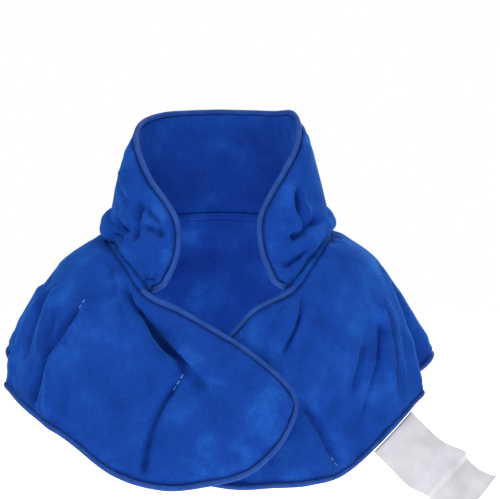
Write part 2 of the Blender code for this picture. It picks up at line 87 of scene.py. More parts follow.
# A sewn cord: the size and height of its bumps, and where its round end is cut, in diameters
CORD_BUMP = 0.010
CORD_UNEVENNESS = 0.06
CORD_END = 0.12

# How finely the pieces are drawn
CAPE_COLUMNS = 600
CAPE_DROPS = 100
COLLAR_COLUMNS = 400
COLLAR_RISES = 80
LINE_POINTS = 90
CORD_SIDES = 14
THREAD_SIDES = 8
STITCH_POINTS = 7
CLOSURE_POINTS = 24
LABEL_COLUMNS = 41
LABEL_ROWS = 71
RIM_ANGLES = (45, 90, 135)

# How closely a line is followed when its length is measured or its direction is taken
CAPE_SAMPLES = 1600
COLLAR_SAMPLES = 1200
DROP_SAMPLES = 400
EDGE_SHARES = (0.0, 0.88, 1.0)
SECTION_STEP = 0.01
DROP_STEP = 0.02
SHORTEST = 1e-9
MERGE_DISTANCE = 0.00002
LEAST_EDGE = 0.00001

# A direction that no cord starts along, and the seeds of each piece's noise
SLANT = (0.1, 0.2, 1.0)
SEED_SHIFT = (17.3, 5.1, 9.7)
CAPE_SEED = 1
COLLAR_SEED = 11
CORD_SEEDS = {"satin_cape_piping": 21, "satin_collar_piping": 22, "plush_seam_band": 23}


def table(kind, rows):
    """Rows as named values."""
    return [kind(*row) for row in rows]


CapeSection = namedtuple("CapeSection", "azimuth lift neck_r neck_z bend_r bend_z hem_r hem_z")
CAPE_SECTIONS = table(CapeSection, (
    (-29.0, 0.50, 1.220, -0.645, 0.813, -0.645, 0.610, -0.645),
    (-27.0, 0.50, 1.175, -0.580, 0.810, -0.650, 0.615, -0.715),
    (-21.0, 0.50, 1.055, -0.505, 0.797, -0.660, 0.615, -0.815),
    (-11.0, 0.50, 0.925, -0.425, 0.750, -0.650, 0.595, -0.910),
    (5.0, 0.50, 0.855, -0.345, 0.703, -0.625, 0.595, -0.955),
    (20.0, 0.45, 0.860, -0.280, 0.690, -0.560, 0.625, -0.970),
    (37.7, 0.30, 0.970, -0.205, 0.745, -0.400, 0.675, -0.920),
    (54.0, 0.15, 0.970, -0.095, 0.865, -0.200, 0.750, -0.795),
    (70.0, 0.05, 0.990, -0.010, 0.915, -0.090, 0.870, -0.670),
    (87.0, 0.00, 1.010, 0.030, 0.975, -0.055, 0.950, -0.560),
    (106.0, 0.00, 0.960, 0.080, 0.960, -0.030, 0.990, -0.440),
    (132.0, 0.00, 0.850, 0.135, 0.920, 0.010, 0.930, -0.640),
    (158.0, 0.00, 0.770, 0.145, 0.810, 0.030, 0.770, -0.840),
    (180.0, 0.00, 0.750, 0.150, 0.767, 0.030, 0.710, -0.900),
    (202.0, 0.00, 0.770, 0.145, 0.810, 0.030, 0.770, -0.840),
    (228.0, 0.00, 0.850, 0.135, 0.920, 0.010, 0.930, -0.660),
    (254.0, 0.00, 0.960, 0.090, 0.965, -0.025, 1.000, -0.465),
    (272.0, 0.00, 1.010, 0.050, 0.975, -0.050, 0.915, -0.590),
    (288.0, -0.05, 1.000, 0.010, 0.935, -0.085, 0.815, -0.735),
    (305.0, -0.15, 1.010, -0.090, 0.890, -0.215, 0.680, -0.925),
    (322.0, -0.30, 1.050, -0.195, 0.785, -0.425, 0.650, -0.965),
    (338.0, -0.45, 0.930, -0.275, 0.740, -0.565, 0.620, -0.970),
    (351.0, -0.50, 0.905, -0.380, 0.717, -0.625, 0.598, -0.975),
    (365.0, -0.50, 0.905, -0.475, 0.703, -0.650, 0.583, -0.955),
    (378.0, -0.50, 0.965, -0.560, 0.723, -0.675, 0.583, -0.910),
    (387.0, -0.50, 1.085, -0.635, 0.750, -0.700, 0.583, -0.815),
    (390.0, -0.50, 1.145, -0.730, 0.763, -0.730, 0.573, -0.730),
))
LAST_SECTION = len(CAPE_SECTIONS) - 1
EVEN_SECTION = 9.0

CollarSection = namedtuple("CollarSection", "station azimuth top_r top_z roll belly")
COLLAR_SECTIONS = table(CollarSection, (
    (6.0, 35.5, 1.130, -0.250, 0.0, 0.00),
    (6.4, 32.5, 1.110, -0.214, 0.1, 0.00),
    (6.9, 29.8, 0.960, -0.023, 0.2, 0.10),
    (7.4, 32.0, 0.910, 0.183, 0.3, 0.20),
    (7.9, 43.0, 0.895, 0.328, 0.5, 0.20),
    (8.5, 58.0, 0.910, 0.466, 0.7, 0.20),
    (9.1, 73.0, 0.935, 0.626, 0.8, 0.25),
    (9.7, 89.0, 0.950, 0.786, 0.8, 0.30),
    (10.4, 108.0, 0.925, 0.900, 0.6, 0.30),
    (11.1, 132.0, 0.875, 0.969, 0.4, 0.30),
    (12.0, 156.0, 0.831, 0.992, 0.3, 0.20),
    (13.0, 180.0, 0.813, 1.000, 0.3, 0.20),
    (14.0, 204.0, 0.820, 0.992, 0.3, 0.20),
    (14.9, 228.0, 0.845, 0.977, 0.4, 0.20),
    (15.6, 252.0, 0.875, 0.962, 0.5, 0.20),
    (16.3, 271.0, 0.905, 0.850, 0.6, 0.20),
    (16.9, 287.0, 0.910, 0.690, 0.6, 0.20),
    (17.5, 302.0, 0.880, 0.530, 0.5, 0.10),
    (18.1, 317.0, 0.880, 0.366, 0.4, 0.10),
    (18.6, 327.0, 0.900, 0.200, 0.3, 0.10),
    (19.1, 328.5, 0.975, 0.000, 0.2, 0.10),
    (19.6, 326.0, 1.110, -0.185, 0.1, 0.00),
    (20.0, 324.0, 1.150, -0.240, 0.0, 0.00),
))
LAST_COLLAR = len(COLLAR_SECTIONS) - 1

# How high the collar rolls out over the seam, how its rises crowd towards there, and how many
# sections from its tips it has its full height
ROLL_TOP = 0.22
ROLL_SPACING = 1.35
COLLAR_TIP = 0.9

# Folds and creases fade by the neck seam, over a share of the surface, and at their own ends,
# over a share of their length
SEAM_HOLD = 0.06
CREASE_HOLD = 0.025
FOLD_FADE = 0.35
CREASE_FADE = 0.22

# How far one reaches, in widths and in sections, and how soon a leaning one turns steep, in widths
REACH_WIDTHS = 4.5
REACH_SECTIONS = 2
LEAN_WIDTHS = 0.3

# A valley's round bottom, and its raised lips' height, place and width
CREASE_ROUND = 0.20
LIP_SHARE = 0.32
LIP_PLACE = 1.7
LIP_WIDTH = 0.7

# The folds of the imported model: three places each, as section and drop or as place and rise,
# a height and the widths at both ends as shares of the padding.
Fold = namedtuple("Fold", "name start middle end height width_start width_end")
CAPE_FOLDS = table(Fold, (
    ("right_side_pleat", (9.30, 0.40), (9.22, 0.72), (9.20, 1.00), -2.60, 0.9, 1.9),
    ("right_side_crest", (8.45, 0.58), (8.65, 0.80), (8.78, 1.00), 0.45, 0.8, 0.9),
    ("right_shoulder_ridge", (8.28, 0.52), (8.13, 0.74), (8.05, 0.92), 0.40, 0.9, 1.0),
    ("right_arm_ridge", (7.75, 0.78), (7.56, 0.92), (7.45, 1.00), 0.35, 0.8, 0.9),
    ("right_arm_streak", (7.60, 0.72), (7.40, 0.79), (7.10, 0.88), 0.20, 0.9, 1.1),
    ("right_neck_valley", (7.97, 0.06), (6.88, 0.14), (6.20, 0.33), -0.35, 1.0, 1.3),
    ("collar_tip_valley", (6.40, 0.05), (5.40, 0.15), (4.43, 0.32), -0.75, 0.7, 1.0),
    ("collar_tip_crest", (6.45, 0.12), (5.50, 0.27), (4.60, 0.46), 0.40, 0.9, 1.2),
    ("left_side_pleat", (16.85, 0.34), (16.80, 0.70), (16.78, 1.00), -2.90, 0.9, 2.0),
    ("left_side_crest", (17.35, 0.82), (17.32, 0.92), (17.25, 1.00), 0.55, 0.7, 0.9),
    ("left_shoulder_crest", (17.75, 0.62), (17.82, 0.82), (17.98, 0.98), 0.75, 0.7, 0.8),
    ("left_shoulder_hollow", (17.95, 0.68), (18.10, 0.80), (18.35, 0.92), -0.45, 0.9, 1.1),
    ("left_arm_streak", (18.55, 0.66), (19.07, 0.74), (19.70, 0.82), 0.25, 1.0, 1.2),
    ("left_chest_streak", (19.43, 0.20), (19.90, 0.38), (20.22, 0.57), 0.25, 1.0, 1.2),
    ("left_neck_ridge", (19.85, 0.06), (20.42, 0.16), (20.85, 0.30), 0.50, 0.7, 0.9),
    ("left_neck_valley", (19.65, 0.06), (20.00, 0.18), (20.65, 0.38), -0.35, 0.8, 0.9),
    ("back_right_fold", (11.75, 0.42), (11.60, 0.72), (11.40, 1.00), -0.60, 1.2, 1.8),
    ("back_crest", (12.90, 0.50), (13.00, 0.76), (13.05, 1.00), 0.35, 1.2, 1.7),
    ("back_left_fold", (14.20, 0.38), (14.40, 0.70), (14.65, 1.00), -0.70, 1.1, 1.9),
))
CAPE_SEAMS = table(Fold, (
    ("right_flap_seam", (4.72, 0.34), (5.21, 0.78), (5.42, 1.00), 0.75, 0.7, 0.7),
    ("right_shoulder_seam", (7.25, 0.48), (7.71, 0.82), (7.90, 1.00), 0.60, 0.7, 0.7),
    ("left_flap_seam", (20.22, 0.72), (19.59, 0.92), (19.10, 1.00), 0.75, 0.7, 0.7),
))
COLLAR_FOLDS = table(Fold, (
    ("right_rim_ridge", (6.53, 0.79), (5.64, 0.76), (4.60, 0.78), 0.30, 0.9, 0.7),
    ("right_rim_crease", (4.60, 0.75), (3.80, 0.77), (3.10, 0.85), -0.25, 0.7, 0.6),
    ("right_front_crease", (3.90, 0.54), (3.15, 0.68), (2.65, 0.86), -0.25, 0.7, 0.6),
    ("right_high_crease", (5.40, 0.40), (4.50, 0.31), (3.80, 0.40), -0.30, 0.7, 0.6),
    ("right_low_crease", (5.10, 0.15), (4.20, 0.16), (3.50, 0.20), -0.35, 0.7, 0.6),
    ("right_tip_crease", (1.35, 0.12), (1.15, 0.45), (1.00, 0.90), -0.25, 0.6, 0.5),
    ("left_long_crease", (16.90, 0.36), (18.10, 0.34), (19.10, 0.58), -0.40, 0.7, 0.6),
    ("left_low_crease", (18.50, 0.14), (19.80, 0.30), (20.60, 0.80), -0.35, 0.7, 0.6),
))
COLLAR_SEAMS = table(Fold, (
    ("right_quilting", (4.76, 0.78), (4.06, 0.55), (3.20, 0.32), 0.60, 0.6, 0.6),
    ("left_quilting", (16.89, 0.79), (17.64, 0.58), (18.21, 0.34), 0.60, 0.6, 0.6),
))

# Finer creases, drawn on the outside only. Heights and widths are again shares of the padding;
# a negative one is a sharp valley, and a positive one a soft ridge. Looking at the outside along
# the crease, lean makes its right side steeper, or its left side if it is negative. Most have none.
Crease = namedtuple("Crease", "name start middle end height width_start width_end lean", defaults=[0.0])
CAPE_CREASES = table(Crease, (
    ("tip_valley", (6.90, 0.00), (5.95, 0.11), (4.85, 0.23), -0.80, 0.32, 0.50, 0.45),
    ("tip_hollow", (5.90, 0.10), (5.10, 0.21), (4.45, 0.36), -0.42, 0.55, 0.85, 0.30),
    ("lip_valley", (5.30, 0.13), (4.45, 0.24), (3.85, 0.38), -0.40, 0.30, 0.50, 0.50),
    ("tip_lip", (6.20, 0.00), (5.00, 0.09), (3.70, 0.31), 0.46, 0.42, 0.60),
    ("tip_bank", (6.65, 0.08), (5.85, 0.21), (4.95, 0.42), 0.34, 0.60, 0.90),
    ("seam_puff", (4.30, 0.42), (4.75, 0.72), (4.95, 0.96), 0.30, 0.90, 0.90),
    ("bank_valley", (7.05, 0.03), (6.10, 0.20), (5.05, 0.42), -0.16, 0.50, 0.70),
    ("flap_hollow", (4.40, 0.30), (4.05, 0.40), (3.40, 0.56), -0.22, 0.80, 1.00, 0.3),
    ("shoulder_ridge_a", (8.60, 0.66), (8.75, 0.88), (8.75, 0.99), 0.34, 0.45, 0.50),
    ("shoulder_ridge_b", (9.75, 0.70), (9.85, 0.86), (9.95, 0.99), 0.34, 0.50, 0.60),
    ("shoulder_ridge_c", (7.71, 0.80), (7.56, 0.92), (7.45, 0.99), 0.30, 0.45, 0.50),
    ("shoulder_ridge_d", (8.28, 0.56), (8.13, 0.76), (8.05, 0.92), 0.28, 0.35, 0.45),
    ("shoulder_crease_a", (8.50, 0.58), (8.42, 0.80), (8.38, 0.96), -0.42, 0.28, 0.45),
    ("shoulder_crease_b", (8.02, 0.66), (7.90, 0.80), (7.76, 0.94), -0.30, 0.28, 0.40),
    ("shoulder_crease_c", (8.95, 0.62), (9.02, 0.80), (9.05, 0.97), -0.34, 0.30, 0.45),
    ("neck_valley_right", (7.97, 0.03), (6.88, 0.14), (6.20, 0.33), -0.26, 0.40, 0.70),
    ("arm_valley_right", (7.56, 0.75), (7.40, 0.79), (7.14, 0.86), -0.20, 0.35, 0.50),
    ("chest_ridge_a", (19.80, 0.00), (20.42, 0.15), (20.95, 0.32), 0.40, 0.45, 0.75),
    ("chest_crease_a", (20.02, 0.00), (20.55, 0.11), (21.05, 0.26), -0.34, 0.30, 0.55, -0.3),
    ("chest_crease_b", (19.62, 0.00), (20.06, 0.16), (20.69, 0.38), -0.28, 0.36, 0.70, 0.3),
    ("chest_ridge_b", (19.43, 0.10), (19.70, 0.25), (20.32, 0.43), 0.24, 0.45, 0.60),
    ("chest_crease_c", (19.33, 0.20), (19.80, 0.38), (20.22, 0.58), -0.22, 0.40, 0.60),
    ("back_crease_right", (11.75, 0.34), (11.60, 0.70), (11.40, 0.97), -0.34, 0.50, 0.80, 0.3),
    ("back_ridge_right", (12.20, 0.30), (12.15, 0.66), (12.05, 0.95), 0.26, 0.70, 0.90),
    ("back_ridge_left", (13.75, 0.26), (13.90, 0.62), (14.05, 0.95), 0.30, 0.70, 0.90),
    ("back_crease_left", (14.20, 0.30), (14.40, 0.68), (14.65, 0.97), -0.36, 0.50, 0.80, -0.3),
    ("arm_streak_left", (18.55, 0.66), (19.07, 0.74), (19.70, 0.82), 0.24, 0.50, 0.60),
    ("arm_crease_left", (18.50, 0.72), (18.71, 0.80), (18.92, 0.88), -0.30, 0.30, 0.40),
    ("arm_crease_left_b", (18.24, 0.85), (18.50, 0.90), (18.75, 0.95), -0.26, 0.25, 0.35),
    ("side_crease_left", (17.80, 0.62), (17.82, 0.82), (17.98, 0.98), -0.55, 0.25, 0.45, -0.4),
    ("panel_edge_left", (17.22, 0.44), (17.20, 0.68), (17.20, 0.99), 0.62, 0.50, 0.65),
    ("panel_shadow_left", (16.95, 0.42), (16.93, 0.72), (16.95, 1.00), -0.75, 0.36, 0.65, 0.4),
    ("side_crease_left_b", (17.92, 0.74), (18.08, 0.82), (18.29, 0.89), -0.34, 0.30, 0.40),
))
CAPE_QUILTING = table(Crease, (
    ("flap_quilting_right", (4.72, 0.33), (5.27, 0.77), (5.42, 1.00), -0.56, 0.26, 0.36, -0.3),
    ("shoulder_quilting", (7.27, 0.46), (7.71, 0.82), (7.87, 1.00), -0.52, 0.36, 0.44),
    ("flap_quilting_left", (20.22, 0.72), (19.59, 0.93), (19.05, 1.00), -0.54, 0.36, 0.44),
))
COLLAR_CREASES = table(Crease, (
    ("front_crease_a", (5.35, 0.38), (4.50, 0.31), (3.70, 0.40), -0.42, 0.34, 0.50),
    ("front_crease_b", (5.05, 0.11), (4.10, 0.12), (3.55, 0.17), -0.42, 0.34, 0.50),
    ("front_crease_c", (4.65, 0.74), (3.79, 0.77), (3.00, 0.84), -0.34, 0.30, 0.40),
    ("front_crease_d", (3.95, 0.53), (3.13, 0.68), (2.55, 0.86), -0.40, 0.34, 0.48),
    ("tip_crease_a", (1.28, 0.09), (1.10, 0.42), (0.93, 0.95), -0.30, 0.16, 0.22),
    ("rim_ridge", (6.53, 0.79), (5.64, 0.76), (4.59, 0.78), 0.22, 0.40, 0.40),
    ("rim_crease", (6.60, 0.70), (5.60, 0.66), (4.70, 0.69), -0.22, 0.30, 0.35),
    ("long_crease", (19.25, 0.60), (18.25, 0.32), (16.80, 0.36), -0.36, 0.44, 0.66),
    ("low_crease", (20.63, 0.80), (20.10, 0.30), (18.52, 0.12), -0.30, 0.38, 0.56),
    ("small_crease", (18.70, 0.69), (18.56, 0.64), (18.38, 0.60), -0.30, 0.30, 0.36),
    ("small_crease_b", (19.00, 0.52), (18.80, 0.46), (18.55, 0.44), -0.26, 0.30, 0.36),
    ("upper_puff_left", (19.00, 0.76), (18.20, 0.50), (17.00, 0.52), 0.34, 0.60, 0.70),
    ("lower_puff_left", (19.40, 0.42), (18.60, 0.20), (17.20, 0.20), 0.30, 0.60, 0.70),
    ("upper_puff_right", (5.20, 0.56), (4.40, 0.48), (3.60, 0.56), 0.26, 0.70, 0.70),
    ("lower_puff_right", (5.20, 0.25), (4.40, 0.21), (3.60, 0.28), 0.26, 0.60, 0.60),
))
COLLAR_QUILTING = table(Crease, (
    ("quilting_right", (4.76, 0.80), (4.06, 0.55), (3.13, 0.30), -0.58, 0.32, 0.38),
    ("quilting_left", (16.89, 0.82), (17.64, 0.59), (18.21, 0.29), -0.58, 0.32, 0.38),
))

# Gathers fan out from the edges, this strong, this far apart, and over this distance. They are
# weaker along quilting, as far as its depth times QUILTING_REACH says, and on the inside.
GATHER_HEIGHT = 0.0024
GATHER_SPACING = 0.0085
GATHER_REACH = 0.012
GATHER_START = 0.002
QUILTING_GATHER = 0.3
QUILTING_REACH = 2.2
INNER_GATHER = 0.2

# Swells of these sizes and heights, stronger on the inside, and crumpled streaks in patches.
# Heights are shares of the padding, and fade over EDGE_CALM towards an edge.
SWELLS = ((0.045, 0.10), (0.020, 0.05))
INNER_SWELL = 1.5
CRUMPLE_SIZE = 0.030
CRUMPLE_STRETCH = (1.0, 1.0, 0.6)
CRUMPLE_SHARPNESS = 4
CRUMPLE_PATCH = 0.05
CRUMPLE_DEPTH = 0.10
EDGE_CALM = 0.012

# Painted shading of the plush, within this range: painted shade in creases, in gather hollows and along an
# edge, and painted highlight on crease lips and gather ridges
PAINTED_SHADING_RANGE = (-0.5, 1.0)
PAINTED_SHADING_BY_CREASE = 1.15
PAINTED_SHADING_BY_GATHER = 0.8
PAINTED_SHADE_AT_EDGE = 0.8
PAINTED_SHADE_EDGE_WIDTH = 0.0022

# Where thread shows: a quilting line, and the shares of its length where the stitches start and end
STITCHES = (
    ("flap_quilting_right", 0.02, 0.16),
    ("shoulder_quilting", 0.02, 0.12),
    ("flap_quilting_left", 0.80, 0.90),
)

# Where trims start and end, as sections of the cape or of the collar
BAND_ENDS = (6.15, 19.85)
NECK_PIPING_ENDS = (6.25, 19.75)
COLLAR_PIPING_ENDS = (0.15, 21.85)
CLOSURE_SECTIONS = (22.7, 24.1)
CLOSURE_DROPS = (0.42, 0.72)

# The points inside an edge lie this share of the surface in, and this many sections from its ends
RIM_SHARE = 0.12
RIM_INSET = 0.6

# The label's place on the hem, and the direction that it falls in, in degrees
LABEL_SECTION = 18.13
LABEL_AZIMUTH = 278.0
LABEL_FALL = 33.0

LabelSection = namedtuple("LabelSection", "out along rise slope")
LABEL_SECTIONS = table(LabelSection, (
    (0.00, 0.00, 0.00, 0.00),
    (0.20, 0.00, 0.03, 0.00),
    (0.40, 0.01, 0.06, 0.06),
    (0.57, 0.03, 0.00, 0.10),
    (0.64, 0.04, 0.06, 0.02),
    (0.78, 0.07, 0.09, -0.06),
    (0.92, 0.11, 0.04, -0.14),
))


# The surfaces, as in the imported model


def catmull_rom(rows, places, first=None, last=None):
    """Smooth values at fractional places along rows, with optional rows beyond either end."""
    rows = np.asarray(rows, float)
    places = np.asarray(places, float)
    first = 2 * rows[0] - rows[1] if first is None else first
    last = 2 * rows[-1] - rows[-2] if last is None else last
    padded = np.vstack([first, rows, last])
    index = np.clip(np.floor(places).astype(int), 0, len(rows) - 2)
    t = (places - index)[..., None]
    a, b, c, d = (padded[index + k] for k in range(4))
    return 0.5 * (2 * b + (c - a) * t + (2 * a - 5 * b + 4 * c - d) * t**2 + (3 * b - a - 3 * c + d) * t**3)


def smooth(t):
    """A smooth step from 0 to 1."""
    t = np.clip(t, 0.0, 1.0)
    return t * t * (3 - 2 * t)


def unit(vectors):
    """Vectors scaled to length 1."""
    return vectors / np.maximum(np.linalg.norm(vectors, axis=-1, keepdims=True), SHORTEST)


def square_to(vectors, along):
    """The part of each vector that is square to a direction, scaled to length 1."""
    return unit(vectors - along * np.sum(vectors * along, axis=-1, keepdims=True))


def polar(azimuth, radius, height):
    """Points at these azimuths in degrees, radii and heights."""
    angle = np.radians(azimuth)
    return np.stack([-radius * np.sin(angle), -radius * np.cos(angle), height + 0 * angle], axis=-1)


def cape_rows():
    """Each cape section in metres: azimuth, and the neck, bend and hem points' radii and heights."""
    rows = []
    for row in CAPE_SECTIONS:
        lift = row.lift * LAYER_STEP
        radii = (row.neck_r * NECK_RADIUS, row.bend_r * BEND_RADIUS, row.hem_r * HEM_RADIUS)
        heights = (row.neck_z * CAPE_DROP, row.bend_z * CAPE_DROP, row.hem_z * CAPE_DROP)
        pairs = [value for r, z in zip(radii, heights) for value in (r + lift, z)]
        rows.append([row.azimuth, *pairs])
    return np.array(rows)


def cape_base(section, drop):
    """The cape's middle surface without folds, at sections and drops from neck to hem."""
    rows = cape_rows()
    mirrored = [0, 5, 6, 3, 4, 1, 2]
    values = catmull_rom(rows, section, rows[1][mirrored], rows[-2][mirrored])
    azimuth, neck_r, neck_z, bend_r, bend_z, hem_r, hem_z = np.moveaxis(values, -1, 0)
    neck_share = (1 - drop) ** 2
    bend_share = 2 * drop * (1 - drop) * BEND_WEIGHT
    hem_share = drop**2
    total = neck_share + bend_share + hem_share
    radius = (neck_share * neck_r + bend_share * bend_r + hem_share * hem_r) / total
    height = (neck_share * neck_z + bend_share * bend_z + hem_share * hem_z) / total
    return polar(azimuth + 0 * drop, radius, height)


def seam_centre(section):
    """The centre line of the band that lies in the neck seam, inside the cape's neck edge."""
    edge = cape_base(section, 0 * section)
    along = unit(cape_base(section + SECTION_STEP, 0 * section) - edge)
    outward = square_to(cape_base(section, 0 * section + DROP_STEP) - edge, along)
    return edge - outward * (SEAM_BAND_DIAMETER / 2 + SEAM_GAP)


def collar_values(place):
    """Each collar section's cape section, azimuth, rim radius and height, roll and belly, in metres."""
    rows = [
        [c.station, c.azimuth, c.top_r * COLLAR_RADIUS, c.top_z * COLLAR_HEIGHT,
         c.roll * COLLAR_BULGE, c.belly * COLLAR_BULGE]
        for c in COLLAR_SECTIONS
    ]
    return np.moveaxis(catmull_rom(rows, place), -1, 0)


def collar_roll(place, rise):
    """How far the collar's padding rolls out over the neck seam."""
    roll = collar_values(place)[4]
    return roll * np.sin(math.pi * smooth(rise / ROLL_TOP)) * (rise < ROLL_TOP)


def collar_base(place, rise):
    """The collar's middle surface without folds, at collar sections and rises from seam to rim."""
    section, azimuth, top_r, top_z, _, belly = collar_values(place)
    seam = seam_centre(section)
    along = unit(seam_centre(section + SECTION_STEP) - seam)
    upward = square_to(polar(azimuth, top_r, top_z) - seam, along)
    foot = seam + upward * (SEAM_BAND_DIAMETER / 2 + 2 * SEAM_GAP)
    foot_azimuth = np.degrees(np.arctan2(-foot[..., 0], -foot[..., 1])) % 360
    foot_r = np.hypot(foot[..., 0], foot[..., 1])
    from_tip = np.minimum(place, LAST_COLLAR - place)
    rise = rise * smooth(from_tip / COLLAR_TIP)
    radius = foot_r * (1 - rise) + top_r * rise + belly * np.sin(math.pi * rise)
    radius = radius + collar_roll(place, rise) / 2
    height = foot[..., 2] * (1 - rise) + top_z * rise
    return polar(foot_azimuth * (1 - rise) + azimuth * rise, radius, height)


def grid_of(surface, places, shares):
    """A surface's points on a grid of places by shares."""
    across, down = np.meshgrid(places, shares, indexing="ij")
    return surface(across, down)


def grid_normals(points):
    """Unit normals of a grid of points, away from the neck axis."""
    normals = unit(np.cross(np.gradient(points, axis=0), np.gradient(points, axis=1)))
    weak = np.linalg.norm(normals, axis=-1) < 0.5
    for row in np.where(weak.any(axis=1))[0]:
        inner = row + 1 if row < len(points) / 2 else row - 1
        normals[row] = normals[inner].mean(axis=0)
    outward = np.sum(normals[..., :2] * points[..., :2])
    return unit(normals) * math.copysign(1.0, outward)


# Folds, seams and wrinkles on a surface


def fold_line(surface, fold):
    """A fold's route in section and share, and its points on the surface."""
    start, middle, end = (np.array(place) for place in (fold.start, fold.middle, fold.end))
    knee = 2 * middle - (start + end) / 2
    t = np.linspace(0, 1, LINE_POINTS)
    route = np.outer((1 - t) ** 2, start) + np.outer(2 * t * (1 - t), knee) + np.outer(t**2, end)
    return route, surface(route[:, 0], route[:, 1])


class Grid:
    """A padded surface drawn finely: its unfolded points and the places and shares they lie at."""

    def __init__(self, surface, places, shares, thickness):
        self.surface = surface
        self.places = places
        self.shares = shares
        self.thickness = thickness
        self.base = grid_of(surface, places, shares)
        self.normals = grid_normals(self.base)

    def near(self, fold, fade_share, lean=0.0):
        """Which points lie near a fold, how many widths away, and the fold's fade there."""
        route, line = fold_line(self.surface, fold)
        widest = max(fold.width_start, fold.width_end) * self.thickness
        reach = REACH_WIDTHS * widest * (1 + abs(lean))
        low, high = line.min(axis=0) - reach, line.max(axis=0) + reach
        inside = np.all((self.base > low) & (self.base < high), axis=-1)
        first, last = route[:, 0].min() - REACH_SECTIONS, route[:, 0].max() + REACH_SECTIONS
        inside &= ((self.places > first) & (self.places < last))[:, None]
        picked = self.base[inside]
        apart = np.linalg.norm(picked[:, None] - line, axis=-1)
        nearest = apart.argmin(axis=-1)
        share = nearest / (LINE_POINTS - 1)
        width = (fold.width_start * (1 - share) + fold.width_end * share) * self.thickness
        if lean:
            across = np.cross(self.normals[inside], unit(np.gradient(line, axis=0))[nearest])
            offset = np.sum((picked - line[nearest]) * across, axis=-1)
            width = width * (1 - lean * np.clip(offset / (LEAN_WIDTHS * width), -1, 1))
        fade = smooth(share / fade_share) if fold.start[1] > 0 else np.ones(len(share))
        if fold.end[1] < 1:
            fade = fade * smooth((1 - share) / fade_share)
        return inside, apart.min(axis=-1) / width, fade

    def field(self, folds):
        """The summed height of soft folds, or strength of seams, at each point."""
        field = np.zeros(self.base.shape[:2])
        for fold in folds:
            inside, widths, fade = self.near(fold, FOLD_FADE)
            field[inside] += fold.height * np.exp(-(widths**2)) * fade
        return field * smooth(self.shares / SEAM_HOLD)

    def relief(self, creases):
        """The summed height of creases: a sharp valley between raised lips, or a round ridge."""
        field = np.zeros(self.base.shape[:2])
        for crease in creases:
            inside, widths, fade = self.near(crease, CREASE_FADE, crease.lean)
            sharp = np.exp(CREASE_ROUND - np.sqrt(widths**2 + CREASE_ROUND**2))
            lip = LIP_SHARE * np.exp(-(((widths - LIP_PLACE) / LIP_WIDTH) ** 2))
            shape = sharp - lip if crease.height < 0 else np.exp(-(widths**2))
            field[inside] += crease.height * shape * fade
        return field * smooth(self.shares / CREASE_HOLD)


def edge_travel(points):
    """Distance of each grid point from the nearer long edge."""
    steps = np.linalg.norm(np.diff(points, axis=1), axis=-1)
    travel = np.concatenate([np.zeros((len(points), 1)), np.cumsum(steps, axis=1)], axis=1)
    return np.minimum(travel, travel[:, -1:] - travel)


def edge_share(points):
    """0 at the grid's long edges and 1 further in than EDGE_ROLL."""
    return np.sin(np.clip(edge_travel(points) / EDGE_ROLL, 0, 1) * math.pi / 2)


def padded_grid(grid, folds, seams):
    """A padded surface's folded middle points, and its thickness at each."""
    height = grid.field(folds) * grid.thickness
    drawn_in = np.clip(grid.field(seams), 0, 1)
    points = grid.base + grid.normals * height[..., None]
    filling = (grid.thickness - EDGE_THICKNESS) * edge_share(points) * (1 - drawn_in)
    return points, EDGE_THICKNESS + filling


def wrinkle_noise(points, size, seed):
    """Smooth random values about 0 at points, with bumps about one size apart."""
    shift = Vector([seed * along for along in SEED_SHIFT])
    flat = (points / size).reshape(-1, 3)
    values = [noise.noise(Vector(p) + shift) for p in flat]
    return np.array(values).reshape(points.shape[:-1])


def travel_along(line):
    """Distance of each of a line's points from its first one."""
    steps = np.linalg.norm(np.diff(line, axis=0), axis=1)
    return np.concatenate([[0], np.cumsum(steps)])


def points_at(wanted, places, line):
    """A line's points at the wanted places, where places says where its own points lie."""
    return np.stack([np.interp(wanted, places, line[:, axis]) for axis in range(3)], axis=-1)


def evenly(places, points, count):
    """Places spaced evenly by the length of the line through points."""
    travel = travel_along(points)
    return np.interp(np.linspace(0, travel[-1], count + 1), travel, places)


def rim_offset(points, inside, distance):
    """A line beside an edge, at a distance away from the points inside it."""
    along = unit(np.gradient(points, axis=0))
    return points - square_to(inside - points, along) * distance


# Meshes


def piece(name, vertices, faces, slot, material, replaced=(), painted_shading=None):
    """A mesh object that rides on the pad, with its material and replaced nodes; its slot argument is not
    used.

    The last argument holds painted shade at each vertex, from 0 to 1, and painted highlight below 0.
    """
    mesh = bpy.data.meshes.new(name)
    mesh.from_pydata(np.asarray(vertices).tolist(), [], faces)
    if painted_shading is not None:
        attribute = mesh.attributes.new("painted_shading", "FLOAT", "POINT")
        attribute.data.foreach_set("value", painted_shading.astype(np.float32))
    body = bmesh.new()
    body.from_mesh(mesh)
    bmesh.ops.remove_doubles(body, verts=body.verts, dist=MERGE_DISTANCE)
    bmesh.ops.dissolve_degenerate(body, edges=body.edges, dist=LEAST_EDGE)
    bmesh.ops.recalc_face_normals(body, faces=body.faces)
    body.to_mesh(mesh)
    body.free()
    mesh.shade_smooth()
    mesh.materials.append(material)
    thing = bpy.data.objects.new(name, mesh)
    bpy.context.scene.collection.objects.link(thing)
    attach(thing, "root")
    if replaced:
        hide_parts(*replaced)
    return thing


def ring_faces(rings, sides):
    """Quads between closed rings of points."""
    faces = []
    for ring in range(rings - 1):
        for side in range(sides):
            after = (side + 1) % sides
            a, b = ring * sides, (ring + 1) * sides
            faces.append((a + side, a + after, b + after, b + side))
    return faces


def closed_rings(points):
    """A closed body's vertices and faces through rings of points, with a fan over each end ring."""
    rings, sides = points.shape[:2]
    vertices = np.concatenate([points.reshape(-1, 3), points[[0, -1]].mean(axis=1)])
    faces = ring_faces(rings, sides)
    for centre, first in ((rings * sides, 0), (rings * sides + 1, (rings - 1) * sides)):
        faces += [(centre, first + side, first + (side + 1) % sides) for side in range(sides)]
    return vertices, faces


